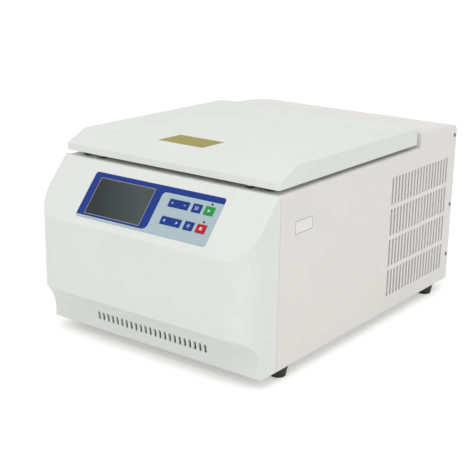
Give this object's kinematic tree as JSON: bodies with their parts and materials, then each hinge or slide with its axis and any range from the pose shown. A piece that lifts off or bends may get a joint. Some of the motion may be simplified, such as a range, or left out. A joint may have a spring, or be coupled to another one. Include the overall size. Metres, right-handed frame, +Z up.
{
  "type": "refrigerated centrifuge",
  "caption": "Refrigerated benchtop centrifuge: hinged wedge lid over a cold chamber with an angle rotor, sloped control panel, louvred sides and rubber feet.",
  "frame": {"origin": "centre of the overall plan at the level the feet stand on", "axes": "+X to the right seen from the front, +Y to the rear, +Z up; the control panel faces -Y"},
  "size_m": [0.43, 0.648, 0.3321],
  "materials": {
    "white_moulding": "satin",
    "white_sheet": "satin",
    "grey_tray": "satin",
    "black_rubber": "matte",
    "dark_screws": "blackened",
    "black_plastic": "matte",
    "stainless": "brushed",
    "aluminium": "satin",
    "foam": "cellular",
    "grey_rubber": "matte",
    "zinc_sheet": "zinc plated",
    "laminations": "dull",
    "bearing_steel": "ground",
    "rotor_alloy": "anodised",
    "overlay_film": "textured film",
    "screen_glass": "gloss",
    "green_board": "solder mask",
    "lamp_lens": "gloss",
    "black_enamel": "gloss",
    "fin_block": "mill",
    "copper": "drawn",
    "blue_key": "matte",
    "red_key": "matte",
    "green_key": "matte",
    "lid_liner": "satin"
  },
  "bodies": {
    "housing": {"base_tray": "grey_tray", "bolt_guides": "black_plastic", "bulkhead": "zinc_sheet", "cabinet_cover": "white_sheet", "chamber_bowl": "stainless", "chamber_insulation": "foam", "chamber_seal": "grey_rubber", "chamber_sensor": "stainless", "chamber_shelf": "zinc_sheet", "compressor": "black_enamel", "compressor_grommets": "black_rubber", "condenser": "fin_block", "control_board": "green_board", "control_overlay": "overlay_film", "cover_screws": "dark_screws", "display_module": "black_plastic", "display_window": "screen_glass", "drive_inverter": "aluminium", "evaporator_jacket": "aluminium", "fan_motor": "black_plastic", "fan_shroud": "black_plastic", "filter_drier": "copper", "foot_screws": "dark_screws", "front_moulding": "white_moulding", "hinge_cheeks": "zinc_sheet", "hinge_pins": "bearing_steel", "hinge_portal": "zinc_sheet", "key_switches": "black_plastic", "lid_bumpers": "black_rubber", "lock_actuator": "black_plastic", "mains_inlet": "black_plastic", "motor_bearings": "bearing_steel", "motor_dampers": "black_rubber", "motor_housing": "aluminium", "motor_plate": "zinc_sheet", "motor_stator": "laminations", "rear_panel": "white_sheet", "refrigerant_pipes": "copper", "rubber_feet": "black_rubber", "spindle_boot": "grey_rubber", "status_lamps": "lamp_lens", "switch_frame": "black_plastic"},
    "lid": {"lid_shell": "white_moulding", "lid_insulation": "foam", "lid_liner": "lid_liner", "lock_hooks": "zinc_sheet", "hinge_arms": "zinc_sheet"},
    "drive": {"spindle": "bearing_steel", "motor_armature": "laminations", "angle_rotor": "rotor_alloy", "rotor_nut": "stainless"},
    "fan": {"fan_impeller": "black_plastic"},
    "latch": {"latch_bar": "zinc_sheet"},
    "mains_rocker": {"mains_switch": "black_plastic"},
    "cool_button": {"cool_key": "blue_key"},
    "stop_button": {"stop_key": "red_key"},
    "menu_button": {"menu_key": "blue_key"},
    "start_button": {"start_key": "green_key"},
    "value_rocker": {"value_key": "blue_key"},
    "select_rocker": {"select_key": "blue_key"}
  },
  "joints": [
    {"name": "lid_hinge", "type": "hinge", "parent": "housing", "child": "lid", "pos_m": [0, 0.198, 0.303], "axis": [-1, 0, 0], "range_deg": [0, 75]},
    {"name": "rotor_spin", "type": "hinge", "parent": "housing", "child": "drive", "pos_m": [0, -0.065, 0.15], "axis": [0, 0, 1], "continuous": true},
    {"name": "fan_spin", "type": "hinge", "parent": "housing", "child": "fan", "pos_m": [0.118, 0.206, 0.137], "axis": [1, 0, 0], "continuous": true},
    {"name": "latch_slide", "type": "slide", "parent": "housing", "child": "latch", "axis": [1, 0, 0], "range_m": [0, 0.012]},
    {"name": "mains_switch_rock", "type": "hinge", "parent": "housing", "child": "mains_rocker", "pos_m": [-0.095, 0.315, 0.079], "axis": [0, 0, -1], "range_deg": [0, 24]},
    {"name": "cool_button_press", "type": "slide", "parent": "housing", "child": "cool_button", "axis": [0, 0.7602, -0.6496], "range_m": [0, 0.0008], "stiffness_N_per_m": 3000},
    {"name": "stop_button_press", "type": "slide", "parent": "housing", "child": "stop_button", "axis": [0, 0.7602, -0.6496], "range_m": [0, 0.0008], "stiffness_N_per_m": 3000},
    {"name": "menu_button_press", "type": "slide", "parent": "housing", "child": "menu_button", "axis": [0, 0.7602, -0.6496], "range_m": [0, 0.0008], "stiffness_N_per_m": 3000},
    {"name": "start_button_press", "type": "slide", "parent": "housing", "child": "start_button", "axis": [0, 0.7602, -0.6496], "range_m": [0, 0.0008], "stiffness_N_per_m": 3000},
    {"name": "value_rocker_tilt", "type": "hinge", "parent": "housing", "child": "value_rocker", "pos_m": [0.055, -0.29504, 0.23475], "axis": [0, 0.6496, 0.7602], "range_deg": [-2.5, 2.5], "stiffness_Nm_per_rad": 1},
    {"name": "select_rocker_tilt", "type": "hinge", "parent": "housing", "child": "select_rocker", "pos_m": [0.055, -0.27555, 0.25755], "axis": [0, 0.6496, 0.7602], "range_deg": [-2.5, 2.5], "stiffness_Nm_per_rad": 1}
  ]
}
